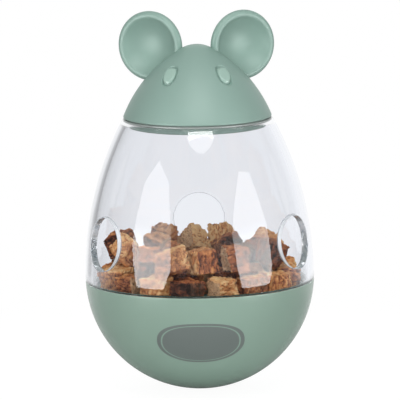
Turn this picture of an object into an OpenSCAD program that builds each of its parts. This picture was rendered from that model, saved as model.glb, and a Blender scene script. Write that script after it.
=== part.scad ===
// Roly-poly treat dispenser in the shape of a mouse.
// A weighted bowl and a clear shell make an egg that rights itself. Treats drop out of
// the holes in the shell when the egg is knocked about, and the mouse head is its lid.
// The floor is z = 0, the egg stands on the Z axis and the mouse faces -Y.

/* [Egg] */
// Greatest diameter of the egg
body_d = 80; // [74:1:90]
// Height of the bowl's rim above the floor
bowl_h = 38.2; // [36:0.1:40]
// Diameter of the flat rest spot under the bowl
foot_d = 8; // [6:1:16]
// Wall of the bowl
bowl_wall = 2.4; // [2:0.1:3]
// Height of the clear shell above the bowl's rim
shell_h = 56.5; // [54:0.1:62]
// Outer diameter of the shell at its mouth
neck_d = 53; // [51:0.5:56]
// Wall of the clear shell
shell_wall = 2.4; // [1.8:0.1:3]
// Wall of the shell around its mouth
mouth_wall = 1.75; // [1.4:0.05:2.2]
// Height of the straight land inside the mouth
mouth_land = 2; // [1.5:0.1:3]

/* [Joint of bowl and shell] */
// Depth of the shell's spigot inside the bowl
spigot_h = 4; // [3:0.25:5]
// Wall of the spigot
spigot_wall = 1.6; // [1.2:0.1:2]
// Radius of the snap bead around the spigot
bead_r = 0.5; // [0.3:0.05:0.6]
// Thickness of the shell's foot over the bowl's rim
shell_foot_t = 1.2; // [1:0.1:2.4]
// Thickness of the floor plate
floor_t = 1.8; // [1.4:0.1:2.4]
// Width of the ledge that carries the floor plate
ledge_w = 3; // [2:0.25:4]

/* [Dispensing holes] */
// Number of holes around the shell
hole_count = 3; // [2:1:4]
// Diameter of a hole
hole_d = 18.4; // [14:0.2:20]
// Height of the holes' centres above the bowl's rim
hole_rise = 15.7; // [15:0.1:20]

/* [Mouse head] */
// Outer diameter of the head at its lower edge
head_d = 52; // [50:0.5:54]
// Height of the head, up to the point where its sides would meet
head_h = 26.6; // [24:0.2:28]
// Radius of the curve of the head's sides
head_side_r = 47.5; // [40:0.5:52]
// Radius of the rounded crown
head_tip_r = 11; // [8:0.5:12]
// Wall of the head
head_wall = 2.2; // [1.8:0.1:2.6]
// Wall of the socket that takes the plug
socket_wall = 2.8; // [2.6:0.1:3.2]
// Chamfer of the head's lower edge
edge_cut = 0.6; // [0.3:0.1:1]

/* [Lid plug and seal] */
// Depth of the plug in the shell's mouth
plug_depth = 2.6; // [2.4:0.2:6]
// Wall of the plug
plug_wall = 1.2; // [1:0.1:2.2]
// Height of the plug's lip inside the head
plug_lip = 3; // [2:0.25:3.5]
// Thickness of the seal between the head and the shell
seal_t = 0.9; // [0.5:0.1:1.2]

/* [Ears] */
// Diameter of an ear
ear_d = 24.4; // [20:0.2:26]
// Depth of an ear from its rim to its back
ear_t = 6.8; // [6:0.2:8]
// Depth of the dish in an ear
ear_dish = 4.6; // [3:0.1:5]
// Radius of the rounded rim
ear_rim_r = 1.35; // [0.8:0.05:1.5]
// Angle by which an ear faces outwards
ear_yaw = 25.5; // [15:0.5:40]
// Distance of an ear's centre from the middle of the head
ear_x = 16.4; // [15:0.2:18]
// Distance of an ear's centre behind the middle of the head
ear_y = 5; // [3:0.5:7]
// Height of an ear's centre above the head's lower edge
ear_rise = 24.2; // [22:0.1:26]
// Diameter of the peg that holds an ear
peg_d = 2; // [1.6:0.1:2.4]
// Distance from an ear's centre to the end of its peg
peg_reach = 14; // [12:0.5:15]

/* [Eyes] */
// Length of an eye, up and down the head
eye_l = 6.2; // [5:0.2:8]
// Width of an eye
eye_w = 4.4; // [3:0.1:5]
// Height by which an eye stands proud
eye_proud = 1; // [0.4:0.05:1.2]
// Angle between an eye and the middle of the face
eye_turn = 37; // [28:1:44]
// Height of the eyes above the head's lower edge
eye_rise = 16; // [13:0.25:18]

/* [Ballast] */
// Height of the ballast weight
ballast_h = 12; // [9:0.5:15]
// Diameter of the post that locates the ballast
post_d = 9; // [7:0.5:12]
// Diameter of the washer over the ballast
washer_d = 16; // [14:0.5:20]
// Thickness of the washer
washer_t = 1; // [0.8:0.1:1.5]
// Diameter of the ballast screw
screw_d = 3; // [2.5:0.1:4]
// Length of the ballast screw under its head
screw_l = 9; // [7:0.5:10]

/* [Treats] */
// Number of treats in the heap
treat_count = 44; // [20:1:48]
// Size of a treat across its flats
treat_size = 9.6; // [8.6:0.2:11.4]
// Turn of the heap about the egg's axis
heap_turn = 60; // [0:1:120]

/* [Fits] */
// Clearance around the shell's spigot, the floor plate and the ballast
fit_gap = 0.15; // [0.1:0.05:0.25]
// Clearance of the lid plug in the shell's mouth
plug_gap = 0.15; // [0.1:0.05:0.25]
// Clearance of an ear and its peg in the head
ear_gap = 0.08; // [0.05:0.01:0.12]
// Clearance that a treat keeps from the walls
treat_gap = 0.3; // [0.2:0.1:0.6]

/* [Hidden] */
$fn = 96;
eps = 0.01;

egg_r = body_d / 2;
foot_r = foot_d / 2;
// The bowl is part of a sphere whose centre lies this high
centre_z = sqrt(egg_r ^ 2 - foot_r ^ 2);

mouth_z = bowl_h + shell_h;
neck_r = neck_d / 2;
shell_rise = mouth_z - centre_z;
shell_draw = egg_r - neck_r;
// The shell's side is an arc, upright at the egg's widest point, that ends at the mouth
shell_arc_r = (shell_rise ^ 2 + shell_draw ^ 2) / (2 * shell_draw);
shell_arc_x = egg_r - shell_arc_r;
mouth_r = neck_r - mouth_wall;

seat_r = egg_r - bowl_wall;
spigot_r = seat_r - fit_gap;
spigot_in_r = spigot_r - spigot_wall;
spigot_z = bowl_h - spigot_h;
bead_z = bowl_h - spigot_h / 2;
ledge_z = spigot_z - floor_t;
ledge_r = seat_r - ledge_w;

hole_r = hole_d / 2;
hole_z = bowl_h + hole_rise;
// The first hole is at the back, behind the mouse's face
function hole_turn(i) = 90 + i * 360 / hole_count;

head_r = head_d / 2;
head_z = mouth_z + seal_t;
// The head's side is an arc through its lower edge and its point, about this centre
head_chord = sqrt(head_r ^ 2 + head_h ^ 2);
head_belly = sqrt(head_side_r ^ 2 - head_chord ^ 2 / 4);
head_arc_x = head_r / 2 - head_belly * head_h / head_chord;
head_arc_y = head_h / 2 - head_belly * head_r / head_chord;
head_tip_y = head_arc_y + sqrt((head_side_r - head_tip_r) ^ 2 - head_arc_x ^ 2);
socket_r = head_r - socket_wall;

plug_r = mouth_r - plug_gap;
plug_z = mouth_z - plug_depth;
lip_r = socket_r - plug_gap;
lip_in_r = lip_r - plug_wall;

ear_r = ear_d / 2;
// The ear's back and its dish are two arcs that both end just under the round rim
rim_tuck = 0.2 * ear_rim_r;
ear_back_x = ear_r - rim_tuck;
ear_back_h = ear_t - ear_rim_r;
ear_back_r = (ear_back_x ^ 2 + ear_back_h ^ 2) / (2 * ear_back_h);
ear_dish_x = ear_r - 2 * ear_rim_r + rim_tuck;
ear_dish_h = ear_dish - ear_rim_r;
ear_dish_r = (ear_dish_x ^ 2 + ear_dish_h ^ 2) / (2 * ear_dish_h);
// The peg points inwards and down in the plane of the ear, from the middle of its wall
peg_slope = 45;
peg_root = 0.52 * ear_r;
peg_front_z = ear_dish_r - ear_dish - sqrt(ear_dish_r ^ 2 - peg_root ^ 2);
peg_back_z = ear_back_r - ear_t - sqrt(ear_back_r ^ 2 - peg_root ^ 2);
peg_z = (peg_front_z + peg_back_z) / 2;
boss_wall = 1.6;

eye_round = eye_w / 2;
eye_spread = eye_l / 2 - eye_round;
// A bead whose middle is sunk this deep shows an oval of the eye's width
eye_ball_r = (eye_round ^ 2 + eye_proud ^ 2) / (2 * eye_proud);
eye_sink = eye_ball_r - eye_proud;
eye_lift = asin((eye_rise - head_arc_y) / head_side_r);
groove_w = 0.35;
groove_d = 0.3;

ballast_z = centre_z - seat_r + fit_gap;
ballast_top = ballast_z + ballast_h;
post_r = post_d / 2;
// The washer bears on the ballast, so the post ends a little below it
post_top = ballast_top - fit_gap;
screw_r = screw_d / 2;
screw_head_r = screw_r * 1.9;
screw_head_h = screw_d * 0.7;
screw_gap = 0.05;
recess_w = screw_d * 0.3;
recess_d = screw_d * 0.4;

// A treat is a cube with worn edges that turns freely inside a ball of this radius
treat_wear = 1.04;
treat_r = treat_size / 2 * sqrt(1 + 2 * (treat_wear * sqrt(2) - 1) ^ 2);
treat_h = treat_size * 0.94;
treat_least_w = 0.86;
treat_floor_z = spigot_z + treat_gap + treat_h / 2;
pen_r = spigot_in_r - treat_gap - treat_r;
// The top of each hole stays free of treats
way_z = hole_z + hole_r * 0.4;
way_half = hole_r * 0.7 + treat_r;
// Turn between two treats that lie side by side along the wall
wall_turn = 2.01 * asin(treat_r / pen_r);
// Reach to a spot beside another treat, and to one half over it
beside = 2.01 * treat_r;
astride = 1.2 * treat_r;
spot_turn = 20;
// A spot at the wall counts as lower by this share of its distance from the axis
wall_pull = 0.05;

// Steps through the fractions of multiples of a root scatter values evenly
function scatter(i, root) = i * sqrt(root) - floor(i * sqrt(root));
// Where a treat comes to lie when it drops at p, on the floor plate or on the others
function rest_z(p, heap) = max([
    treat_floor_z,
    for (q = heap) let (near = (p.x - q.x) ^ 2 + (p.y - q.y) ^ 2)
        if (near < 4 * treat_r ^ 2) q.z + sqrt(4 * treat_r ^ 2 - near)
]);
function along(p, turn) = p.x * cos(turn) + p.y * sin(turn);
function across(p, turn) = abs(p.y * cos(turn) - p.x * sin(turn));
function faces_hole(p) = max([
    for (i = [0 : hole_count - 1])
        along(p, hole_turn(i)) > pen_r / 2 && across(p, hole_turn(i)) < way_half ? 1 : 0
]) == 1;
// Spots close to the treats already there, and along the wall
function spots(heap) = [
    for (q = heap, reach = [beside, astride], a = [0 : spot_turn : 360 - spot_turn])
        let (turn = a + spot_turn * scatter(len(heap), 5))
            let (p = [q.x, q.y] + reach * [cos(turn), sin(turn)])
                if (norm(p) < pen_r) p,
    for (a = [0 : wall_turn : 360 - wall_turn])
        pen_r * [cos(a + heap_turn), sin(a + heap_turn)]
];
// A spot with its height and its rank, which is worse where a treat would block a hole
function ranked(p, heap) = let (z = rest_z(p, heap))
    let (blocks = z + treat_r > way_z && faces_hole(p))
        [p.x, p.y, z, z - wall_pull * norm(p) + (blocks ? mouth_z : 0)];
function lowest(found, i = 1, best = 0) =
    i == len(found) ? found[best] : lowest(found, i + 1, found[i][3] < found[best][3] ? i : best);
// Each treat takes the lowest spot, so the heap grows in level layers
function treat_heap(n, heap = []) = len(heap) == n ? heap : treat_heap(n, concat(heap, [
    lowest([for (p = spots(heap)) ranked(p, heap)])
]));
treat_places = treat_heap(treat_count);

function treat_name(i) = str("treat_", i < 9 ? "0" : "", i + 1);
TREATS = [for (i = [0 : treat_count - 1]) treat_name(i)];

// Sections, drawn in the half plane that turns about Z

module band(r0, r1, z0, z1) {
    translate([r0, z0]) square([r1 - r0, z1 - z0]);
}

module egg_disc(r) {
    translate([0, centre_z]) circle(r);
}

module side_disc(r) {
    translate([shell_arc_x, centre_z]) circle(r);
}

module bowl_section() {
    difference() {
        intersection() {
            egg_disc(egg_r);
            band(0, egg_r, 0, bowl_h);
        }
        intersection() {
            egg_disc(seat_r);
            band(0, ledge_r, 0, bowl_h);
        }
        band(0, seat_r, ledge_z, bowl_h + eps);
        translate([seat_r, bead_z]) circle(bead_r + fit_gap);
    }
}

module shell_section() {
    difference() {
        intersection() {
            side_disc(shell_arc_r);
            band(0, egg_r, bowl_h, mouth_z);
        }
        difference() {
            side_disc(shell_arc_r - shell_wall);
            band(0, egg_r, bowl_h, bowl_h + shell_foot_t);
            band(0, egg_r, mouth_z - mouth_land, mouth_z);
        }
        band(0, spigot_in_r, bowl_h - eps, bowl_h + shell_foot_t + eps);
        band(0, mouth_r, plug_z, mouth_z + eps);
    }
    band(spigot_in_r, spigot_r, spigot_z, bowl_h + eps);
    translate([spigot_r, bead_z]) circle(bead_r);
}

module plug_section() {
    band(0, plug_r, plug_z, plug_z + plug_wall);
    band(plug_r - plug_wall, plug_r, plug_z, head_z);
    band(lip_in_r, plug_r, head_z - plug_wall, head_z);
    band(lip_in_r, lip_r, head_z - plug_wall, head_z + plug_lip);
}

// The head's solid outline, made larger all round by grow
module head_outline(grow = 0) {
    reach = head_side_r + grow;
    span = [-head_arc_x, head_tip_y - head_arc_y];
    meet_y = head_arc_y + reach * span.y / norm(span);
    translate([0, head_z]) {
        intersection() {
            translate([head_arc_x, head_arc_y]) circle(reach);
            band(0, head_r + grow, 0, meet_y);
        }
        intersection() {
            translate([0, head_tip_y]) circle(head_tip_r + grow);
            band(0, head_r, meet_y - eps, meet_y + head_h);
        }
    }
}

module head_section() {
    difference() {
        head_outline();
        head_outline(-head_wall);
        band(0, socket_r, head_z - eps, head_z + plug_lip + plug_gap);
        translate([head_r, head_z]) rotate(45) square(edge_cut * sqrt(2), center = true);
    }
}

module ear_section() {
    difference() {
        intersection() {
            translate([0, ear_back_r - ear_t]) circle(ear_back_r);
            band(0, ear_r, -ear_t, -ear_rim_r);
        }
        translate([0, ear_dish_r - ear_dish]) circle(ear_dish_r);
    }
    translate([ear_r - ear_rim_r, -ear_rim_r]) circle(ear_rim_r);
}

// Shapes that several parts share

module turned() {
    rotate_extrude() children();
}

module at_holes() {
    for (i = [0 : hole_count - 1])
        rotate(hole_turn(i)) translate([0, 0, hole_z]) rotate([0, 90, 0]) children();
}

// side is 1 for the ear on +X and -1 for the one on -X
module at_ear(side) {
    mirror([side < 0 ? 1 : 0, 0, 0])
        translate([ear_x, ear_y, head_z + ear_rise]) rotate([90, 0, ear_yaw]) children();
}

module ear_peg(r, from, to) {
    translate([0, 0, peg_z]) rotate(180 + peg_slope)
        translate([from, 0, 0]) rotate([0, 90, 0]) cylinder(r = r, h = to - from);
}

// A bead with round ends that lies up the head, its middle sunk under the surface
module eye_bead(side, r, sink) {
    rotate(-90 + side * eye_turn)
        translate([head_arc_x, 0, head_z + head_arc_y]) rotate([0, -eye_lift, 0])
            translate([head_side_r - sink, 0, 0]) {
                cylinder(r = r, h = 2 * eye_spread, center = true);
                for (end = [-1, 1]) translate([0, 0, end * eye_spread]) sphere(r);
            }
}

// Parts of the base

module base_bowl() {
    color("darkseagreen") difference() {
        union() {
            turned() bowl_section();
            translate([0, 0, ballast_z - bowl_wall / 2])
                cylinder(r = post_r, h = post_top - ballast_z + bowl_wall / 2);
        }
        translate([0, 0, post_top - screw_l])
            cylinder(r = screw_r + screw_gap, h = screw_l + eps);
    }
}

module ballast_weight() {
    color("dimgray") difference() {
        turned() intersection() {
            egg_disc(seat_r - fit_gap);
            band(0, egg_r, ballast_z, ballast_top);
        }
        translate([0, 0, ballast_z - eps]) cylinder(r = post_r + fit_gap, h = ballast_h + 2 * eps);
    }
}

module ballast_washer() {
    color("silver") translate([0, 0, ballast_top]) difference() {
        cylinder(d = washer_d, h = washer_t);
        translate([0, 0, -eps]) cylinder(r = screw_r + fit_gap, h = washer_t + 2 * eps);
    }
}

module ballast_screw() {
    color("silver") translate([0, 0, ballast_top + washer_t]) difference() {
        union() {
            cylinder(r = screw_head_r, h = screw_head_h);
            translate([0, 0, -screw_l]) cylinder(r = screw_r, h = screw_l + eps);
        }
        for (turn = [0, 90]) rotate(turn)
            translate([0, 0, screw_head_h])
                cube([screw_head_r, recess_w, 2 * recess_d], center = true);
    }
}

module floor_plate() {
    color("darkseagreen") translate([0, 0, ledge_z])
        cylinder(r = seat_r - fit_gap, h = floor_t);
}

module clear_shell() {
    color("aliceblue", 0.3) difference() {
        turned() shell_section();
        at_holes() cylinder(r = hole_r, h = body_d);
    }
}

// Parts of the lid

module lid_seal() {
    color("slategray") translate([0, 0, mouth_z]) difference() {
        cylinder(r = head_r - plug_gap, h = seal_t);
        translate([0, 0, -eps]) cylinder(r = plug_r + plug_gap, h = seal_t + 2 * eps);
    }
}

module lid_plug() {
    color("darkseagreen") turned() plug_section();
}

module head_cap() {
    color("darkseagreen") difference() {
        union() {
            difference() {
                turned() head_section();
                difference() {
                    for (side = [-1, 1]) eye_bead(side, eye_ball_r + groove_w, eye_sink);
                    turned() head_outline(-groove_d);
                }
            }
            difference() {
                for (side = [-1, 1]) eye_bead(side, eye_ball_r, eye_sink);
                turned() head_outline(-head_wall / 2);
            }
            intersection() {
                turned() head_outline(-head_wall / 2);
                for (side = [-1, 1]) at_ear(side)
                    ear_peg(peg_d / 2 + boss_wall, peg_root, peg_reach);
            }
        }
        for (side = [-1, 1]) at_ear(side)
            ear_peg(peg_d / 2 + ear_gap, peg_root, peg_reach + eps);
    }
}

module ear(side) {
    color("darkseagreen") {
        difference() {
            at_ear(side) turned() ear_section();
            turned() head_outline(ear_gap);
        }
        at_ear(side) ear_peg(peg_d / 2, peg_root, peg_reach - ear_gap);
    }
}

// Loose contents

// A treat on the floor plate lies flat, and one on others lies at any angle
module treat(i) {
    place = treat_places[i];
    turn = 360 * [scatter(i, 2), scatter(i, 3), scatter(i, 5)];
    width = treat_size * (treat_least_w + (1 - treat_least_w) * scatter(i, 7));
    flat = place.z < spigot_z + treat_gap + treat_r;
    color("sienna") translate([place.x, place.y, place.z])
        rotate(flat ? [0, 0, turn.z] : turn)
            intersection() {
                cube([treat_size, width, treat_h], center = true);
                intersection_for (tilt = [[45, 0, 0], [0, 45, 0], [0, 0, 45]])
                    rotate(tilt) cube(treat_size * treat_wear, center = true);
            }
}

base_bowl();
ballast_weight();
ballast_washer();
ballast_screw();
floor_plate();
clear_shell();
lid_seal();
lid_plug();
head_cap();
ear(-1);  // ear_left
ear(1);  // ear_right
for (i = [0 : treat_count - 1])
    treat(i);
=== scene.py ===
import math

import bmesh
import bpy
import numpy as np
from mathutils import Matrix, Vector


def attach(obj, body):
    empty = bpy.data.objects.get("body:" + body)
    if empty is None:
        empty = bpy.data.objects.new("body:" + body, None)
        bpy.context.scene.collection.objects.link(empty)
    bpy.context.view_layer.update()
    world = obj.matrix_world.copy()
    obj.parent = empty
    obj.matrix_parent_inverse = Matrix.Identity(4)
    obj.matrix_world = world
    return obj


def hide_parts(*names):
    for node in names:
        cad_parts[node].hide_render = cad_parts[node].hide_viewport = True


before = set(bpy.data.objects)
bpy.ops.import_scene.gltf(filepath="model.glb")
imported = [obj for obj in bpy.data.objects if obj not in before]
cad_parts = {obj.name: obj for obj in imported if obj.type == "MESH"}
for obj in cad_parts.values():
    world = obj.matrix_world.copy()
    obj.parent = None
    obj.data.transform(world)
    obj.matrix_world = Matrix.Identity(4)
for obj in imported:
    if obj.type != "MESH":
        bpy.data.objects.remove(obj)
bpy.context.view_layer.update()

MM = 0.001

# Egg: a bowl that is part of a ball, and a clear shell whose side is one arc (millimetres)
EGG_R = 40.0
FOOT_R = 4.0
CENTRE_Z = math.sqrt(EGG_R ** 2 - FOOT_R ** 2)
RIM_Z = 38.2
MOUTH_Z = 94.7
NECK_R = 26.5
SHELL_WALL = 2.4
SHELL_RISE = MOUTH_Z - CENTRE_Z
SHELL_DRAW = EGG_R - NECK_R
SHELL_ARC_R = (SHELL_RISE ** 2 + SHELL_DRAW ** 2) / (2 * SHELL_DRAW)
SHELL_ARC_X = EGG_R - SHELL_ARC_R
MOUTH_R = 24.75
SEAT_R = 37.6
SPIGOT_R = 37.45
SPIGOT_IN_R = 35.85
SPIGOT_Z = 34.2
BEAD_Z = 36.2
COVE_Z = 38.1
COVE_H = 0.7
LEDGE_Z = 32.4
LEDGE_R = 34.6
POST_R = 4.5
POST_TOP_Z = 14.2
SCREW_HOLE_R = 1.55
SCREW_HOLE_Z = 5.2

# Dispensing holes
HOLE_R = 9.2
HOLE_Z = 53.9
HOLE_TURNS = (90.0, 210.0, 330.0)
HOLE_ROUND = 0.25
BAND_LOW_Z = 41.5
BAND_HIGH_Z = 67.5
BAND_COLUMNS = 56
BAND_ROWS = 22

# Mouse head
HEAD_Z = 95.6
HEAD_R = 26.0
HEAD_H = 26.6
HEAD_SIDE_R = 47.5
HEAD_TIP_R = 11.0
HEAD_WALL = 2.2
SOCKET_R = 23.2
SOCKET_TOP_Z = 98.75
HEAD_CHORD = math.hypot(HEAD_R, HEAD_H)
HEAD_BELLY = math.sqrt(HEAD_SIDE_R ** 2 - HEAD_CHORD ** 2 / 4)
HEAD_ARC_X = HEAD_R / 2 - HEAD_BELLY * HEAD_H / HEAD_CHORD
HEAD_ARC_Z = HEAD_Z + HEAD_H / 2 - HEAD_BELLY * HEAD_R / HEAD_CHORD
HEAD_TIP_Z = HEAD_ARC_Z + math.sqrt((HEAD_SIDE_R - HEAD_TIP_R) ** 2 - HEAD_ARC_X ** 2)
EYE_LENGTH = 7.0
EYE_WIDTH = 4.3
EYE_PROUD = 0.55
EYE_TILT = 0.13
EYE_LEAN = 6.0
EYE_CREASE = 0.75
EYE_TURN = 37.0
EYE_RISE = 16.0
EYE_POWER = 2.4
EYE_SLOPE = 0.24
EYE_CREASE_AT = 1.12
EYE_CREASE_SPREAD = 0.11
EYE_REACH = 6.4
EYE_SPAN = 12.0

# Ears
EAR_R = 12.2
EAR_DEPTH = 6.8
EAR_DISH = 4.6
EAR_RIM_R = 1.5
EAR_YAW = 25.5
EAR_PLACE = (16.7, 5.0, 119.8)

# Plug and seal of the lid
PLUG_R = 24.6
PLUG_Z = 92.1
PLUG_WALL = 1.2
LIP_R = 23.05
SEAL_R = 25.85
SEAL_STEP = 0.35
SEAL_GROOVE = 0.8
LIP_TOP_Z = 98.6

# Treats
TREAT_NODES = sorted(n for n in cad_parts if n.startswith("treat_"))
TREAT_SEED = 11
TREAT_VOXEL = 0.36
TREAT_TONES = (0.16, 0.3, 0.42, 0.52, 0.62, 0.74, 0.88)
TREAT_CLEAR = 0.2
TREAT_CORNERS = (0.66, 1.06)
TREAT_CUTS = (0.1, 0.25, 1.0)
TREAT_SEED_STEP = 3.7
TREAT_PULL = 0.003
TREAT_LUMP = 0.0024
TREAT_CRACK = 0.0006
TREAT_FIBRE = 0.0011
TREAT_GRAIN = 0.28
TREAT_SIDE_TONE = 0.2
TREAT_TOP_TONE = 0.13

# Colours
BOWL_SAGE = (0.294, 0.42, 0.348)
LID_SAGE = (0.257, 0.389, 0.338)
# The eyes are the head's own sage plastic painted lighter, as painted light on their raised faces
EYE_LIT_SAGE = (0.35, 0.51, 0.44)
# The plug is the lid's sage plastic painted darker, as painted shade under the head's edge
PLUG_SHADED_SAGE = (0.2, 0.29, 0.25)
SEAL_GREY = (0.33, 0.37, 0.355)
IRON_GREY = (0.07, 0.07, 0.072)
PLATED_GREY = (0.6, 0.6, 0.58)
INK_DARK = (0.165, 0.198, 0.187)
INK_PALE = (0.178, 0.211, 0.2)
CLEAR_DARK = (0.982, 0.985, 0.992)
CLEAR_PALE = (0.99, 0.992, 0.996)
EDGE_DARK = (0.42, 0.48, 0.55)
EDGE_PALE = (0.95, 0.97, 0.99)
# White painted on a hole's wall, seen from inside the plastic, as a painted highlight
EDGE_HIGHLIGHT_WHITE = (0.93, 0.95, 0.98)
MEAT_TONES = (
    (0.0, (0.03, 0.011, 0.007)), (0.25, (0.15, 0.042, 0.018)), (0.5, (0.38, 0.118, 0.04)),
    (0.75, (0.68, 0.29, 0.095)), (1.0, (0.86, 0.55, 0.26)),
)
CUT_DARK = (0.25, 0.125, 0.06)
CUT_PALE = (0.68, 0.46, 0.27)

# Pad print on the bowl: place and half sizes in metres, tilt in degrees
PRINT_PLACE = (0.0, -0.0356, 0.0213)
PRINT_TILT = 27.2
PRINT_SIZE = (0.0152, 0.02, 0.0084)
PRINT_POWER = 2.3
PRINT_LINE = 0.76

# Clear plastic: a ray goes straight on after this many bounces
CLEAR_IOR = 1.49
CAUGHT_AFTER = 5.5
EDGE_ROUGH = 0.2
EDGE_CLEAR = 0.68


# Sections, drawn as (radius, height) points in millimetres

def arc(centre_r, centre_z, radius, start, end, steps):
    """Points along a circular arc; the angles are in degrees from straight out."""
    turns = np.radians(np.linspace(start, end, steps))
    return [(centre_r + radius * math.cos(t), centre_z + radius * math.sin(t)) for t in turns]


def eased(points, closed):
    """The section with each corner that carries a third number rounded by about that much."""
    out = []
    count = len(points)
    for i, point in enumerate(points):
        inner = closed or 0 < i < count - 1
        if len(point) < 3 or not inner:
            out.append(np.array(point[:2], float))
            continue
        corner = np.array(point[:2], float)
        sides = []
        for j in (i - 1, (i + 1) % count):
            side = np.array(points[j][:2], float) - corner
            length = np.linalg.norm(side)
            sides.append(corner + side / length * min(point[2], 0.45 * length))
        for s in np.linspace(0, 1, 6):
            out.append((1 - s) ** 2 * sides[0] + 2 * s * (1 - s) * corner + s ** 2 * sides[1])
    return out


def shell_r(z, wall=0.0):
    """Radius of the shell's side at a height, less a wall."""
    return SHELL_ARC_X + np.sqrt((SHELL_ARC_R - wall) ** 2 - (z - CENTRE_Z) ** 2)


def cove_r(z):
    """Radius of the shell's inside, with the cove that runs from the side down to the spigot."""
    low, high = COVE_Z - COVE_H, COVE_Z + COVE_H
    s = np.clip((z - low) / (high - low), 0, 1)
    return SPIGOT_IN_R + (shell_r(np.maximum(z, high), SHELL_WALL) - SPIGOT_IN_R) * s * s * (3 - 2 * s)


# Meshes

def make_piece(name, points, faces, materials, sharp=None, finishes=None):
    """A closed piece at the origin, from points in millimetres. finishes picks each face's material."""
    mesh = bpy.data.meshes.new(name)
    mesh.from_pydata((np.asarray(points, float) * MM).tolist(), [], faces)
    if finishes is not None:
        mesh.polygons.foreach_set("material_index", finishes)
    work = bmesh.new()
    work.from_mesh(mesh)
    bmesh.ops.remove_doubles(work, verts=work.verts, dist=2e-6)
    bmesh.ops.dissolve_degenerate(work, edges=work.edges, dist=1e-7)
    bmesh.ops.recalc_face_normals(work, faces=work.faces)
    work.to_mesh(mesh)
    work.free()
    mesh.shade_smooth()
    if sharp:
        mesh.set_sharp_from_angle(angle=math.radians(sharp))
    for material in materials:
        mesh.materials.append(material)
    piece = bpy.data.objects.new(name, mesh)
    bpy.context.scene.collection.objects.link(piece)
    return piece


def spun(section, turns, closed):
    """Points and faces of a section turned about Z. A closed section is a ring."""
    points, faces, rings = [], [], []
    for r, z in section:
        if r < 1e-6:
            rings.append([len(points)])
            points.append((0.0, 0.0, z))
        else:
            rings.append(list(range(len(points), len(points) + len(turns))))
            points += [(r * math.cos(t), r * math.sin(t), z) for t in turns]
    pairs = list(zip(rings, rings[1:]))
    if closed:
        pairs.append((rings[-1], rings[0]))
    for low, high in pairs:
        for i in range(len(turns)):
            k = (i + 1) % len(turns)
            corners = [low[i % len(low)], low[k % len(low)], high[k % len(high)], high[i % len(high)]]
            corners = list(dict.fromkeys(corners))
            if len(corners) > 2:
                faces.append(corners)
    return points, faces


def lathe(name, points, material, closed=False, columns=192, sharp=None):
    """A turned piece."""
    turns = np.arange(columns) * 2 * math.pi / columns
    return make_piece(name, *spun(eased(points, closed), turns, closed), [material], sharp)


def sheet_faces(rows, columns, first, around):
    """Faces of a grid of points stored row by row."""
    faces = []
    for j in range(rows - 1):
        for i in range(columns if around else columns - 1):
            k = (i + 1) % columns
            a, b = first + j * columns, first + (j + 1) * columns
            faces.append([a + i, a + k, b + k, b + i])
    return faces


# Materials

def new_material(name):
    material = bpy.data.materials.new(name)
    material.use_nodes = True
    tree = material.node_tree
    tree.nodes.clear()
    return material, tree


def node(tree, kind, **values):
    """A shader or geometry node. A value sets the input of that name, or else the property."""
    made = tree.nodes.new(kind)
    for key, value in values.items():
        if key.startswith("in_"):
            name = key[3:]
            socket = made.inputs[int(name) if name.isdigit() else name.replace("_", " ")]
            if isinstance(value, bpy.types.NodeSocket):
                tree.links.new(value, socket)
            else:
                socket.default_value = value
        else:
            setattr(made, key, value)
    return made


def math_node(tree, operation, first, second=0.0, clamp=False):
    made = node(tree, "ShaderNodeMath", operation=operation, use_clamp=clamp, in_0=first, in_1=second)
    return made.outputs[0]


def noise(tree, vector, scale, detail=2.0, rough=0.5, seed=0.0):
    return node(
        tree, "ShaderNodeTexNoise", noise_dimensions="4D", in_Vector=vector, in_W=seed,
        in_Scale=scale, in_Detail=detail, in_Roughness=rough,
    ).outputs[0]


def stretch(tree, value, low, high, to_low, to_high, kind="LINEAR"):
    return node(
        tree, "ShaderNodeMapRange", interpolation_type=kind, in_0=value,
        in_1=low, in_2=high, in_3=to_low, in_4=to_high,
    ).outputs[0]


def mix_colour(tree, factor, first, second, blend="MIX"):
    made = node(tree, "ShaderNodeMix", data_type="RGBA", blend_type=blend, in_0=factor)
    for socket, value in ((made.inputs[6], first), (made.inputs[7], second)):
        if isinstance(value, bpy.types.NodeSocket):
            tree.links.new(value, socket)
        else:
            socket.default_value = (*value, 1.0)
    return made.outputs[2]


def bumped(tree, height, strength, distance):
    made = node(tree, "ShaderNodeBump", in_Height=height, in_Strength=strength, in_Distance=distance)
    return made.outputs[0]


def principled(tree, **inputs):
    shader = node(tree, "ShaderNodeBsdfPrincipled", **inputs)
    node(tree, "ShaderNodeOutputMaterial", in_Surface=shader.outputs[0])
    return shader


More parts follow.
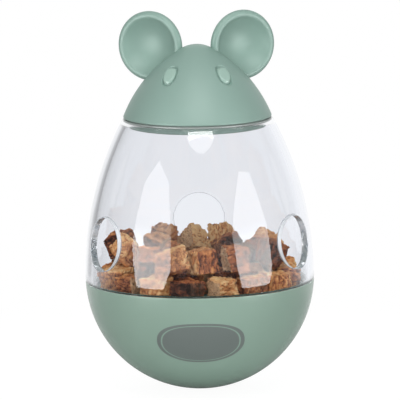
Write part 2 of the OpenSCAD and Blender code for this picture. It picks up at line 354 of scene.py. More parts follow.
def moulded_plastic(name, colour, rough, grain, printed=False):
    """Moulded plastic with faint flow marks, a fine surface grain and an even sheen."""
    material, tree = new_material(name)
    place = node(tree, "ShaderNodeTexCoord").outputs["Object"]
    flow = noise(tree, place, 38.0, 3.0, 0.55, 2.0)
    dark = tuple(c * 0.965 for c in colour)
    pale = tuple(min(1.0, c * 1.03) for c in colour)
    tint = mix_colour(tree, stretch(tree, flow, 0.3, 0.7, 0.0, 1.0), dark, pale)
    sheen = stretch(tree, noise(tree, place, 420.0, 2.0, 0.5, 5.0), 0.25, 0.75, rough * 0.97, rough * 1.03)
    if printed:
        # A plain oval pad print on the front of the bowl, with a thin line inside its edge
        turned = node(
            tree, "ShaderNodeMapping", vector_type="TEXTURE", in_Vector=place,
            in_Location=PRINT_PLACE, in_Rotation=(math.radians(PRINT_TILT), 0.0, 0.0), in_Scale=PRINT_SIZE,
        ).outputs[0]
        parts = node(tree, "ShaderNodeSeparateXYZ", in_0=turned)
        square = math_node(
            tree, "ADD",
            math_node(tree, "POWER", math_node(tree, "ABSOLUTE", parts.outputs[0]), PRINT_POWER),
            math_node(tree, "POWER", math_node(tree, "ABSOLUTE", parts.outputs[2]), PRINT_POWER),
        )
        inside = stretch(tree, square, 0.97, 1.0, 1.0, 0.0, "SMOOTHSTEP")
        line = math_node(tree, "ABSOLUTE", math_node(tree, "SUBTRACT", square, PRINT_LINE))
        solid = stretch(tree, line, 0.018, 0.04, 0.0, 1.0, "SMOOTHSTEP")
        front = stretch(tree, parts.outputs[1], 0.9, 1.0, 1.0, 0.0)
        mask = math_node(tree, "MULTIPLY", math_node(tree, "MULTIPLY", inside, solid), front)
        ink = mix_colour(tree, flow, INK_DARK, INK_PALE)
        tint = mix_colour(tree, mask, tint, ink)
        sheen = math_node(tree, "ADD", sheen, math_node(tree, "MULTIPLY", mask, 0.12))
    relief = noise(tree, place, 1700.0, 2.0, 0.6, 9.0)
    principled(
        tree, in_Base_Color=tint, in_Roughness=sheen, in_IOR=1.5,
        in_Normal=bumped(tree, relief, grain, 0.00004),
    )
    return material


def let_light_through(tree, glass):
    """The lamps' light passes straight through, and so does a ray that is caught between the walls."""
    open_way = node(tree, "ShaderNodeBsdfTransparent", in_Color=(0.95, 0.96, 0.975, 1.0))
    path = node(tree, "ShaderNodeLightPath").outputs
    lit = math_node(tree, "MAXIMUM", path["Is Shadow Ray"], path["Is Diffuse Ray"])
    lit = math_node(tree, "MAXIMUM", lit, math_node(tree, "GREATER_THAN", path["Ray Depth"], CAUGHT_AFTER))
    both = node(tree, "ShaderNodeMixShader", in_0=lit, in_1=glass.outputs[0], in_2=open_way.outputs[0])
    node(tree, "ShaderNodeOutputMaterial", in_Surface=both.outputs[0])


def clear_plastic():
    """Clear plastic that lets the light of the lamps reach what lies inside it."""
    material, tree = new_material("clear_plastic")
    place = node(tree, "ShaderNodeTexCoord").outputs["Object"]
    haze = noise(tree, place, 55.0, 3.0, 0.5, 3.0)
    tint = mix_colour(tree, stretch(tree, haze, 0.3, 0.7, 0.0, 1.0), CLEAR_DARK, CLEAR_PALE)
    scuffs = stretch(tree, noise(tree, place, 900.0, 4.0, 0.65, 7.0), 0.62, 0.8, 0.0, 0.035)
    glass = node(
        tree, "ShaderNodeBsdfPrincipled", in_Base_Color=tint, in_Roughness=scuffs, in_IOR=CLEAR_IOR,
    )
    glass.inputs["Transmission Weight"].default_value = 1.0
    let_light_through(tree, glass)
    return material


def frosted_edge(name, highlight_share):
    """The edge of a hole in the clear plastic: milled, so it scatters light and shows fine tool marks.
    From inside the plastic the face is painted white by the second argument, as a painted highlight."""
    material, tree = new_material(name)
    place = node(tree, "ShaderNodeTexCoord").outputs["Object"]
    marks = noise(tree, place, 260.0, 3.0, 0.7, 8.0)
    tint = mix_colour(tree, stretch(tree, marks, 0.35, 0.68, 0.0, 1.0), EDGE_DARK, EDGE_PALE)
    edge = node(
        tree, "ShaderNodeBsdfPrincipled", in_Base_Color=tint, in_Roughness=EDGE_ROUGH, in_IOR=CLEAR_IOR,
        in_Normal=bumped(tree, noise(tree, place, 800.0, 2.0, 0.6, 2.0), 0.02, 0.0002),
    )
    edge.inputs["Transmission Weight"].default_value = EDGE_CLEAR
    white = node(tree, "ShaderNodeBsdfDiffuse", in_Color=(*EDGE_HIGHLIGHT_WHITE, 1.0))
    # Painted highlight: the face seen from inside the plastic is mixed to a white diffuse
    painted_highlight = math_node(tree, "MULTIPLY", node(tree, "ShaderNodeNewGeometry").outputs["Backfacing"], highlight_share)
    both = node(tree, "ShaderNodeMixShader", in_0=painted_highlight, in_1=edge.outputs[0], in_2=white.outputs[0])
    let_light_through(tree, both)
    return material


def dried_meat():
    """Dried meat: a tone for each treat, fibrous sides, pale porous end grain, cracks and grooves darkened as
    painted shade, and raised fibres lightened as painted light.
    """
    material, tree = new_material("dried_meat")
    place = node(tree, "ShaderNodeTexCoord").outputs["Object"]
    tone = node(tree, "ShaderNodeAttribute", attribute_name="tone").outputs["Fac"]
    relief = node(tree, "ShaderNodeAttribute", attribute_name="relief").outputs["Fac"]
    grain = node(tree, "ShaderNodeAttribute", attribute_name="end_grain").outputs["Fac"]
    patch = stretch(tree, noise(tree, place, 330.0, 3.0, 0.6, 1.0), 0.32, 0.68, -0.2, 0.2)
    # The fibres' own streaks of tone, with painted light on the raised fibres and painted shade in the grooves
    fibre_tone_and_ridge_light = stretch(tree, relief, 0.4, 0.8, -0.28, 0.24)
    level = math_node(tree, "ADD", tone, math_node(tree, "ADD", patch, fibre_tone_and_ridge_light), True)
    ramp = node(tree, "ShaderNodeValToRGB", in_0=level)
    ramp.color_ramp.elements[0].color = (*MEAT_TONES[0][1], 1.0)
    ramp.color_ramp.elements[1].color = (*MEAT_TONES[-1][1], 1.0)
    for position, colour in MEAT_TONES[1:-1]:
        ramp.color_ramp.elements.new(position).color = (*colour, 1.0)
    pores = node(tree, "ShaderNodeTexVoronoi", in_Vector=place, in_Scale=1100.0).outputs["Distance"]
    cut = mix_colour(tree, stretch(tree, pores, 0.12, 0.42, 0.0, 1.0), CUT_DARK, CUT_PALE)
    colour = mix_colour(tree, math_node(tree, "MULTIPLY", grain, 0.7), ramp.outputs[0], cut)
    # Painted shade: the colour darkens where the relief is low, in the cracks and grooves
    crack_painted_shade = stretch(tree, relief, 0.25, 0.5, 0.4, 1.0, "SMOOTHSTEP")
    shade = node(tree, "ShaderNodeCombineXYZ", in_0=crack_painted_shade, in_1=crack_painted_shade, in_2=crack_painted_shade).outputs[0]
    colour = mix_colour(tree, 1.0, colour, shade, "MULTIPLY")
    fine = noise(tree, place, 2600.0, 3.0, 0.65, 4.0)
    grease = stretch(tree, noise(tree, place, 700.0, 2.0, 0.5, 6.0), 0.35, 0.7, 0.4, 0.75)
    meat_shader = principled(
        tree, in_Base_Color=colour, in_Roughness=grease, in_IOR=1.45,
        in_Normal=bumped(tree, fine, 0.5, 0.00025),
    )
    meat_shader.inputs["Specular IOR Level"].default_value = 0.3
    return material


def plain_metal(name, colour, rough, scale, metal):
    """Cast or plated metal with a grained surface."""
    material, tree = new_material(name)
    place = node(tree, "ShaderNodeTexCoord").outputs["Object"]
    grain = noise(tree, place, scale, 4.0, 0.6, 3.0)
    dark = tuple(c * 0.8 for c in colour)
    pale = tuple(min(1.0, c * 1.15) for c in colour)
    tint = mix_colour(tree, grain, dark, pale)
    principled(
        tree, in_Base_Color=tint, in_Roughness=stretch(tree, grain, 0.3, 0.7, rough * 0.8, rough * 1.2),
        in_Metallic=metal, in_Normal=bumped(tree, grain, 0.3, 0.0002),
    )
    return material


gloss_sage = moulded_plastic("gloss_sage", BOWL_SAGE, 0.26, 0.12, printed=True)
satin_sage = moulded_plastic("satin_sage", LID_SAGE, 0.44, 0.35)
# Painted light: a lighter copy of the lid's sage plastic for the eyes
lit_eye_sage = moulded_plastic("lit_eye_sage", EYE_LIT_SAGE, 0.3, 0.2)
# Painted shade: a darker copy of the lid's sage plastic for the plug; its roughness is its own
matt_shaded_sage = moulded_plastic("matt_shaded_sage", PLUG_SHADED_SAGE, 0.6, 0.4)
shell_clear = clear_plastic()
# The hole's wall carries a painted white highlight on its inside face; the lips carry none
hole_wall = frosted_edge("hole_wall", 0.8)
hole_lip = frosted_edge("hole_lip", 0.0)
seal_grey = moulded_plastic("seal_grey", SEAL_GREY, 0.25, 0.3)
meat = dried_meat()
iron = plain_metal("cast_iron", IRON_GREY, 0.65, 900.0, 0.6)
plated = plain_metal("plated_steel", PLATED_GREY, 0.28, 2200.0, 1.0)


# Base

def make_bowl():
    low = math.degrees(math.asin(-CENTRE_Z / EGG_R))
    high = math.degrees(math.asin((RIM_Z - 0.6 - CENTRE_Z) / EGG_R))
    outside = arc(0.0, CENTRE_Z, EGG_R, low, high, 72)
    rim_r = math.sqrt(EGG_R ** 2 - (RIM_Z - CENTRE_Z) ** 2)
    ledge_foot = math.degrees(math.acos(LEDGE_R / SEAT_R))
    post_foot = math.degrees(math.acos(POST_R / SEAT_R))
    inside = arc(0.0, CENTRE_Z, SEAT_R, -ledge_foot, -post_foot, 40)
    points = [(0.0, 0.0)] + outside + [
        (rim_r, RIM_Z, 0.35), (SEAT_R, RIM_Z, 0.3),
        (SEAT_R, BEAD_Z + 0.65), (SEAT_R + 0.62, BEAD_Z), (SEAT_R, BEAD_Z - 0.65),
        (SEAT_R, LEDGE_Z), (LEDGE_R, LEDGE_Z, 0.3),
    ] + inside + [
        (POST_R, POST_TOP_Z, 0.3), (SCREW_HOLE_R, POST_TOP_Z),
        (SCREW_HOLE_R, SCREW_HOLE_Z), (0.0, SCREW_HOLE_Z),
    ]
    return lathe("bowl", points, gloss_sage, columns=240, sharp=38)


def make_shell():
    """The clear shell: two turned parts, and a band between them that carries the three holes."""
    columns = BAND_COLUMNS * len(HOLE_TURNS)
    half = math.pi / len(HOLE_TURNS)
    first_turn = math.radians(HOLE_TURNS[0]) - half
    turns = first_turn + np.arange(columns) * 2 * math.pi / columns

    def side(z0, z1, wall, steps):
        return [(shell_r(z, wall), z) for z in np.linspace(z0, z1, steps)]

    upper = side(BAND_HIGH_Z, MOUTH_Z - 0.8, 0.0, 40) + [
        (NECK_R, MOUTH_Z, 0.45), (MOUTH_R, MOUTH_Z, 0.45), (MOUTH_R, MOUTH_Z - 1.4),
    ] + side(MOUTH_Z - 2.4, BAND_HIGH_Z, SHELL_WALL, 40)
    lower = [(cove_r(z), z) for z in np.linspace(BAND_LOW_Z, COVE_Z - COVE_H, 30)] + [
        (SPIGOT_IN_R, SPIGOT_Z, 0.35), (SPIGOT_R, SPIGOT_Z, 0.35), (SPIGOT_R, BEAD_Z - 0.55),
        (SPIGOT_R + 0.35, BEAD_Z - 0.3), (SPIGOT_R + 0.5, BEAD_Z), (SPIGOT_R + 0.35, BEAD_Z + 0.3),
        (SPIGOT_R, BEAD_Z + 0.55), (SPIGOT_R, RIM_Z, 0.2), (EGG_R - 0.03, RIM_Z, 0.3),
    ] + side(RIM_Z + 0.6, BAND_LOW_Z, 0.0, 10)
    points, faces = [], []
    for part in (upper, lower):
        more, more_faces = spun(eased(part, False), turns, False)
        faces += [[len(points) + k for k in face] for face in more_faces]
        points += more

    # The band's edge, once round a rectangle of turn and height
    across = np.linspace(-half, half, BAND_COLUMNS + 1)
    up = np.linspace(BAND_LOW_Z, BAND_HIGH_Z, BAND_ROWS + 1)
    edge = [(half, z) for z in up[:-1]] + [(a, BAND_HIGH_Z) for a in across[:0:-1]]
    edge += [(-half, z) for z in up[:0:-1]] + [(a, BAND_LOW_Z) for a in across[:-1]]
    edge = np.array(edge)
    seen = np.unwrap(np.arctan2(edge[:, 1] - HOLE_Z, edge[:, 0] * EGG_R))
    even = seen[0] + np.arange(len(edge)) * 2 * math.pi / len(edge)
    angle = 0.5 * (seen + even)

    def depth(reach, wall):
        t, z = reach * np.cos(angle), HOLE_Z + reach * np.sin(angle)
        return np.sqrt(shell_r(z, wall) ** 2 - t ** 2)

    def ring(reach, d):
        return np.stack([d, reach * np.cos(angle), HOLE_Z + reach * np.sin(angle)], 1)

    def spread(wall):
        """Rows from the rounded edge of the hole out to the edge of the band."""
        reach = HOLE_R + HOLE_ROUND
        t, z = reach * np.cos(angle), HOLE_Z + reach * np.sin(angle)
        turn = np.arcsin(t / shell_r(z, wall))
        rows = []
        for s in np.linspace(0, 1, 17) ** 1.35:
            a, h = (1 - s) * turn + s * edge[:, 0], (1 - s) * z + s * edge[:, 1]
            r = shell_r(h, wall)
            rows.append(np.stack([r * np.cos(a), r * np.sin(a), h], 1))
        return rows

    def rounding(wall, inward):
        """Rows over the rounded edge, from the surface to the wall of the hole."""
        start = ring(HOLE_R + HOLE_ROUND, depth(HOLE_R + HOLE_ROUND, wall))
        corner = ring(HOLE_R, depth(HOLE_R, wall))
        stop = ring(HOLE_R, depth(HOLE_R, wall) + inward * HOLE_ROUND)
        steps = np.linspace(0, 1, 7)[1:]
        return [(1 - s) ** 2 * start + 2 * s * (1 - s) * corner + s ** 2 * stop for s in steps]

    outer, inner = spread(0.0)[::-1], spread(SHELL_WALL)
    rim = rounding(0.0, -1) + rounding(SHELL_WALL, 1)[::-1]
    rows = outer + rim + inner
    # The wall of a hole and its rounded lips have finishes of their own
    lips = range(len(outer) - 1, len(outer) + len(rim))
    wall_row = len(outer) + len(rim) // 2 - 1
    row_finishes = [1 if j == wall_row else 2 if j in lips else 0 for j in range(len(rows) - 1)]
    finishes = [0] * len(faces)
    for hole in HOLE_TURNS:
        c, s = math.cos(math.radians(hole)), math.sin(math.radians(hole))
        faces += sheet_faces(len(rows), len(edge), len(points), True)
        for finish in row_finishes:
            finishes += [finish] * len(edge)
        for row in rows:
            points += [(d * c - t * s, d * s + t * c, z) for d, t, z in row]
    return make_piece("shell", points, faces, [shell_clear, hole_wall, hole_lip], finishes=finishes)


# Lid

def head_side(grow, start, end, steps):
    return arc(HEAD_ARC_X, HEAD_ARC_Z, HEAD_SIDE_R + grow, start, end, steps)


def make_head():
    edge_turn = math.degrees(math.asin((HEAD_Z - HEAD_ARC_Z) / HEAD_SIDE_R))
    tip_turn = math.degrees(math.atan2(HEAD_TIP_Z - HEAD_ARC_Z, -HEAD_ARC_X))
    eye_lift = math.degrees(math.asin((HEAD_Z + EYE_RISE - HEAD_ARC_Z) / HEAD_SIDE_R))
    side_turns = np.concatenate([
        np.linspace(edge_turn + 1.4, eye_lift - EYE_REACH, 22)[:-1],
        np.linspace(eye_lift - EYE_REACH, eye_lift + EYE_REACH, 84),
        np.linspace(eye_lift + EYE_REACH, tip_turn, 16)[1:],
    ])
    outside = [
        (HEAD_ARC_X + HEAD_SIDE_R * math.cos(t), HEAD_ARC_Z + HEAD_SIDE_R * math.sin(t))
        for t in np.radians(side_turns)
    ]
    crown = arc(0.0, HEAD_TIP_Z, HEAD_TIP_R, tip_turn, 90, 22)[1:-1]
    inner_edge = math.degrees(math.asin((SOCKET_TOP_Z - HEAD_ARC_Z) / (HEAD_SIDE_R - HEAD_WALL)))
    inside = arc(0.0, HEAD_TIP_Z, HEAD_TIP_R - HEAD_WALL, 90, tip_turn, 14)[1:-1]
    inside += head_side(-HEAD_WALL, tip_turn, inner_edge, 20)
    section = eased(
        [(SOCKET_R, HEAD_Z, 0.3), (HEAD_R, HEAD_Z, 0.85)] + outside + crown
        + [(0.0, HEAD_TIP_Z + HEAD_TIP_R), (0.0, HEAD_TIP_Z + HEAD_TIP_R - HEAD_WALL)] + inside
        + [(SOCKET_R, SOCKET_TOP_Z)], True,
    )
    # Columns lie close together where the eyes are
    near, far = EYE_TURN - EYE_SPAN, EYE_TURN + EYE_SPAN
    cuts = [-180.0, -far, -near, near, far, 180.0]
    steps = [1.6, 0.3, 1.6, 0.3, 1.6]
    turns = np.concatenate([
        np.linspace(a, b, int(round((b - a) / step)), endpoint=False)
        for a, b, step in zip(cuts, cuts[1:], steps)
    ])
    points, faces = spun(section, np.radians(turns - 90.0), False)
    points = np.array(points)

    # Raise an oval eye on each side of the face, turned to the front, with a crease around it
    lean = math.radians(EYE_LEAN)
    on_eye = np.zeros(len(points), bool)
    out = np.hypot(points[:, 0], points[:, 1])
    lift = np.degrees(np.arctan2(points[:, 2] - HEAD_ARC_Z, out - HEAD_ARC_X))
    outer = np.abs(np.hypot(out - HEAD_ARC_X, points[:, 2] - HEAD_ARC_Z) - HEAD_SIDE_R) < 0.02
    turn = np.degrees(np.arctan2(points[:, 0], -points[:, 1]))
    along = np.radians(lift - eye_lift) * HEAD_SIDE_R
    for side in (-1, 1):
        over = np.radians(side * turn - EYE_TURN) * out
        long_way = along * math.cos(lean) + over * math.sin(lean)
        wide_way = over * math.cos(lean) - along * math.sin(lean)
        oval = np.abs(long_way / (EYE_LENGTH / 2)) ** EYE_POWER
        oval = (oval + np.abs(wide_way / (EYE_WIDTH / 2)) ** EYE_POWER) ** (1 / EYE_POWER)
        pad = np.clip((1 - oval) / EYE_SLOPE, 0, 1)
        dome = (EYE_PROUD + EYE_TILT * over) * pad * pad * (3 - 2 * pad)
        crease = -EYE_CREASE * np.exp(-((oval - EYE_CREASE_AT) / EYE_CREASE_SPREAD) ** 2)
        rise = np.where(outer, dome + crease, 0.0)
        slope = np.radians(lift)
        points[:, 0] += rise * np.cos(slope) * points[:, 0] / np.maximum(out, 1e-6)
        points[:, 1] += rise * np.cos(slope) * points[:, 1] / np.maximum(out, 1e-6)
        points[:, 2] += rise * np.sin(slope)
        on_eye |= outer & (oval < 1.0)
    # The eye faces take the lighter eye material, which is painted light
    finishes = [int(on_eye[face].all()) for face in faces]
    return make_piece("head", points, faces, [satin_sage, lit_eye_sage], 60, finishes)


def make_ear(side):
    """A dished cup: the dish, the round rim and the back run into each other."""
    rim_x = EAR_R - EAR_RIM_R
    dish_r = (rim_x ** 2 + EAR_DISH ** 2) / (2 * EAR_DISH) - EAR_RIM_R
    back_r = (rim_x ** 2 + EAR_DEPTH ** 2 - 2 * EAR_DEPTH * EAR_RIM_R) / (2 * (EAR_DEPTH - 2 * EAR_RIM_R))
    dish_end = math.degrees(math.asin(rim_x / (dish_r + EAR_RIM_R)))
    back_end = math.degrees(math.asin(rim_x / (back_r - EAR_RIM_R)))
    dish = [
        (dish_r * math.sin(t), dish_r - EAR_DISH - dish_r * math.cos(t))
        for t in np.radians(np.linspace(0, dish_end, 44))
    ]
    rim = arc(rim_x, -EAR_RIM_R, EAR_RIM_R, 90 + dish_end, back_end - 90, 34)[1:-1]
    back = [
        (back_r * math.sin(t), back_r - EAR_DEPTH - back_r * math.cos(t))
        for t in np.radians(np.linspace(back_end, 0, 40))
    ]
    dish[0], back[-1] = (0.0, -EAR_DISH), (0.0, -EAR_DEPTH)
    turns = np.arange(160) * 2 * math.pi / 160
    points, faces = spun([np.array(p) for p in dish + rim + back], turns, False)
    points = np.array(points)
    # The dish faces forwards and is turned outwards
    yaw = math.radians(EAR_YAW)
    across, high, out = points[:, 0], points[:, 1], points[:, 2]
    x = EAR_PLACE[0] + across * math.cos(yaw) + out * math.sin(yaw)
    y = EAR_PLACE[1] + across * math.sin(yaw) - out * math.cos(yaw)
    placed = np.stack([side * x, y, EAR_PLACE[2] + high], 1)
    return make_piece("ear_cup_right" if side > 0 else "ear_cup_left", placed, faces, [satin_sage])


def make_plug():
    lip_in = LIP_R - PLUG_WALL
    points = [
        (0.0, PLUG_Z), (PLUG_R, PLUG_Z, 0.5), (PLUG_R, HEAD_Z, 0.2), (LIP_R, HEAD_Z),
        (LIP_R, LIP_TOP_Z, 0.3), (lip_in, LIP_TOP_Z, 0.3), (lip_in, HEAD_Z - PLUG_WALL),
        (PLUG_R - PLUG_WALL, HEAD_Z - PLUG_WALL), (PLUG_R - PLUG_WALL, PLUG_Z + PLUG_WALL, 0.4),
        (0.0, PLUG_Z + PLUG_WALL),
    ]
    # The plug's material is painted darker, as painted shade under the head
    return lathe("plug", points, matt_shaded_sage, sharp=38)


def make_seal():
    # The upper edge is set back, which leaves a shadow line under the head
    step_z = HEAD_Z - SEAL_STEP
    points = [
        (MOUTH_R, MOUTH_Z, 0.1), (SEAL_R, MOUTH_Z, 0.2), (SEAL_R, step_z, 0.2),
        (SEAL_R - SEAL_GROOVE, step_z + 0.1), (SEAL_R - SEAL_GROOVE, HEAD_Z), (MOUTH_R, HEAD_Z, 0.1),
    ]
    return lathe("seal_ring", points, seal_grey, closed=True)


# Treats

def chunk_tree():
    """Geometry nodes that weather a block into a chunk of dried meat."""
    tree = bpy.data.node_groups.new("treat_chunk", "GeometryNodeTree")
    face = tree.interface
    face.new_socket("Geometry", in_out="INPUT", socket_type="NodeSocketGeometry")
    for name in ("Seed", "Tone", "Cut Face", "Lump Depth", "Crack Depth", "Fibre Depth"):
        face.new_socket(name, in_out="INPUT", socket_type="NodeSocketFloat")
    for name in ("Centre", "Fibre Way", "Side Way"):
        face.new_socket(name, in_out="INPUT", socket_type="NodeSocketVector")
    face.new_socket("Material", in_out="INPUT", socket_type="NodeSocketMaterial")
    face.new_socket("Geometry", in_out="OUTPUT", socket_type="NodeSocketGeometry")
    given = node(tree, "NodeGroupInput").outputs
    place = node(tree, "GeometryNodeInputPosition").outputs[0]
    normal = node(tree, "GeometryNodeInputNormal").outputs[0]

    def vec(operation, first, second, index=0):
        made = node(tree, "ShaderNodeVectorMath", operation=operation, in_0=first, in_1=second)
        return made.outputs[index]

    def scaled(vector, factor):
        made = node(tree, "ShaderNodeVectorMath", operation="SCALE", in_0=vector)
        if isinstance(factor, bpy.types.NodeSocket):
            tree.links.new(factor, made.inputs["Scale"])
        else:
            made.inputs["Scale"].default_value = factor
        return made.outputs[0]

    seed = given["Seed"]
    from_centre = vec("SUBTRACT", place, given["Centre"])
    third_way = vec("CROSS_PRODUCT", given["Fibre Way"], given["Side Way"])
    grained = node(
        tree, "ShaderNodeCombineXYZ",
        in_0=math_node(tree, "MULTIPLY", vec("DOT_PRODUCT", from_centre, given["Fibre Way"], 1), TREAT_GRAIN),
        in_1=vec("DOT_PRODUCT", from_centre, given["Side Way"], 1),
        in_2=vec("DOT_PRODUCT", from_centre, third_way, 1),
    ).outputs[0]

    # Pull the block out of shape, then wear it
    pull = node(
        tree, "ShaderNodeTexNoise", noise_dimensions="4D", in_Vector=place, in_W=seed,
        in_Scale=130.0, in_Detail=1.0,
    ).outputs["Color"]
    pulled = scaled(vec("SUBTRACT", pull, (0.5, 0.5, 0.5)), TREAT_PULL)
    bent = node(tree, "GeometryNodeSetPosition", in_Geometry=given["Geometry"], in_Offset=pulled).outputs[0]

    lump = math_node(tree, "SUBTRACT", noise(tree, place, 330.0, 3.0, 0.55, seed), 0.5)
    crack = noise(tree, grained, 620.0, 3.0, 0.6, seed)
    crack = math_node(tree, "ABSOLUTE", math_node(tree, "SUBTRACT", crack, 0.5))
    crack = stretch(tree, crack, 0.0, 0.06, 0.0, 1.0, "SMOOTHSTEP")
    fibre = noise(tree, grained, 1500.0, 3.0, 0.65, seed)
    total = math_node(
        tree, "ADD",
        math_node(tree, "MULTIPLY", lump, given["Lump Depth"]),
        math_node(
            tree, "ADD",
            math_node(tree, "MULTIPLY", math_node(tree, "SUBTRACT", crack, 0.8), given["Crack Depth"]),
            math_node(tree, "MULTIPLY", math_node(tree, "SUBTRACT", fibre, 0.5), given["Fibre Depth"]),
        ),
    )
    relief = math_node(
        tree, "ADD", math_node(tree, "MULTIPLY", crack, 0.25), math_node(tree, "MULTIPLY", fibre, 0.75),
    )
    facing = math_node(tree, "ABSOLUTE", vec("DOT_PRODUCT", normal, given["Fibre Way"], 1))
    facing = stretch(tree, facing, 0.72, 0.95, 0.0, 1.0, "SMOOTHSTEP")
    facing = math_node(tree, "MULTIPLY", facing, given["Cut Face"])
    held = bent
    # The sides of a treat differ in tone
    side_tone = math_node(tree, "MULTIPLY", vec("DOT_PRODUCT", normal, given["Side Way"], 1), TREAT_SIDE_TONE)
    top_tone = math_node(tree, "MULTIPLY", vec("DOT_PRODUCT", normal, third_way, 1), TREAT_TOP_TONE)
    tone = math_node(tree, "ADD", given["Tone"], math_node(tree, "ADD", side_tone, top_tone))
    for name, value in (("end_grain", facing), ("relief", relief), ("tone", tone)):
        held = node(
            tree, "GeometryNodeStoreNamedAttribute", data_type="FLOAT", domain="POINT",
            in_Geometry=held, in_Name=name, in_Value=value,
        ).outputs[0]
    wear = scaled(normal, total)
    worn = node(tree, "GeometryNodeSetPosition", in_Geometry=held, in_Offset=wear).outputs[0]
    smooth = node(tree, "GeometryNodeSetShadeSmooth", in_Geometry=worn).outputs[0]
    real = node(tree, "GeometryNodeRealizeInstances", in_Geometry=smooth).outputs[0]
    dressed = node(tree, "GeometryNodeSetMaterial", in_Geometry=real, in_Material=given["Material"])
    node(tree, "NodeGroupOutput", in_Geometry=dressed.outputs[0])
    return tree


def treat_axes(name):
    """Centre, the three square ways and the half sizes of a treat's solid, in metres."""
    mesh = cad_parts[name].data
    corners = np.array([v.co for v in mesh.vertices])
    corners = np.unique(np.round(corners, 7), axis=0)
    centre = (corners.max(0) + corners.min(0)) / 2
    mesh.calc_loop_triangles()
    areas = {}
    for tri in mesh.loop_triangles:
        way = np.array(tri.normal)
        way *= np.sign(way[np.argmax(np.abs(way))])
        key = tuple(np.round(way, 2))
        area, total = areas.get(key, (0.0, np.zeros(3)))
        areas[key] = (area + tri.area, total + way * tri.area)
    ways = []
    for area, total in sorted(areas.values(), key=lambda found: -found[0]):
        way = total / np.linalg.norm(total)
        if all(abs(way @ other) < 0.1 for other in ways):
            ways.append(way)
    ways = np.array(ways[:3])
    half = np.abs((corners - centre) @ ways.T).max(0)
    return centre, ways, half


def keep_inside(mesh):
    """Press a chunk flat where it lies against the floor plate, the spigot or the shell."""
    at = np.array([v.co for v in mesh.vertices]) / MM
    at[:, 2] = np.maximum(at[:, 2], SPIGOT_Z + TREAT_CLEAR / 4)
    side = cove_r(at[:, 2]) - TREAT_CLEAR
    at[:, :2] *= np.minimum(1.0, side / np.hypot(at[:, 0], at[:, 1]))[:, None]
    mesh.vertices.foreach_set("co", (at * MM).ravel())
    mesh.update()


def make_treats():
    tree = chunk_tree()
    inputs = {s.name: s.identifier for s in tree.interface.items_tree if s.in_out == "INPUT"}
    chunks = []
    for index, name in enumerate(TREAT_NODES):
        draw = np.random.default_rng(TREAT_SEED * 100 + index)
        centre, ways, half = treat_axes(name)
        order = draw.permutation(3)
        ways, half = ways[order], half[order]
        # A hand-cut block, somewhat fuller than the solid's worn cube
        corners = np.array([[i, j, k] for i in (-1, 1) for j in (-1, 1) for k in (-1, 1)], float)
        corners *= draw.uniform(*TREAT_CORNERS, corners.shape)
        local = corners * half
        block = bmesh.new()
        for p in centre + local @ ways:
            block.verts.new(p)
        bmesh.ops.convex_hull(block, input=block.verts)
        mesh = bpy.data.meshes.new("block")
        block.to_mesh(mesh)
        block.free()
        rough_block = bpy.data.objects.new("block", mesh)
        bpy.context.scene.collection.objects.link(rough_block)
        grid = rough_block.modifiers.new("grid", "REMESH")
        grid.mode, grid.voxel_size = "VOXEL", TREAT_VOXEL * MM
        weather = rough_block.modifiers.new("weather", "NODES")
        weather.node_group = tree
        values = {
            "Seed": index * TREAT_SEED_STEP, "Tone": float(draw.choice(TREAT_TONES)),
            "Cut Face": float(draw.choice(TREAT_CUTS)),
            "Lump Depth": TREAT_LUMP, "Crack Depth": TREAT_CRACK, "Fibre Depth": TREAT_FIBRE,
            "Centre": centre, "Fibre Way": ways[0], "Side Way": ways[1], "Material": meat,
        }
        for key, value in values.items():
            weather[inputs[key]] = [float(v) for v in value] if isinstance(value, np.ndarray) else value
        ready = rough_block.evaluated_get(bpy.context.evaluated_depsgraph_get())
        shape = bpy.data.meshes.new_from_object(ready)
        shape.name = name.replace("treat", "chunk")
        keep_inside(shape)
        chunk = bpy.data.objects.new(shape.name, shape)
        bpy.context.scene.collection.objects.link(chunk)
        bpy.data.objects.remove(rough_block)
        chunks.append((chunk, name))
    return chunks


# Camera: level with the egg's shoulder, a little above it

CAMERA_RISE = 8.9
CAMERA_AWAY = 1.6
CAMERA_ROLL = -0.86
AIM = Vector((0.00045, 0.0, 0.06607))
VIEW_WIDTH = 0.13974
SENSOR = 36.0


def make_camera():
    data = bpy.data.cameras.new("camera")
    data.sensor_width = SENSOR
    data.lens = SENSOR * CAMERA_AWAY / VIEW_WIDTH
    data.clip_start, data.clip_end = 0.05, 20.0
    camera = bpy.data.objects.new("camera", data)
    rise = math.radians(CAMERA_RISE)
    back = Vector((0.0, -math.cos(rise), math.sin(rise)))
    camera.location = AIM + back * CAMERA_AWAY
    turn = (-back).to_track_quat("-Z", "Y").to_matrix().to_4x4()
    camera.rotation_euler = turn.to_euler()
    camera.rotation_euler.rotate_axis("Z", math.radians(CAMERA_ROLL))
    bpy.context.scene.collection.objects.link(camera)
    bpy.context.scene.camera = camera


# Light and floor

# Lamps: name, turn, rise, distance, size, shape, radiance, height they look at, and their use
LAMPS = (
    ("softbox_top", 5.0, 60.0, 0.5, (0.4, 0.4), "ELLIPSE", 1.7, 0.07, "gloss"),
    ("strip_top", 5.0, 46.0, 0.5, (0.26, 0.025), "RECTANGLE", 14.0, 0.07, "gloss"),
    ("fill_top", 5.0, 58.0, 0.5, (0.36, 0.36), "ELLIPSE", 2.6, 0.07, "fill"),
    ("fill_front", 0.0, 7.0, 0.8, (0.9, 0.3), "ELLIPSE", 3.9, 0.05, "fill"),
    ("fill_back", 180.0, 28.0, 0.8, (0.9, 0.4), "ELLIPSE", 2.0, 0.07, "fill"),
)

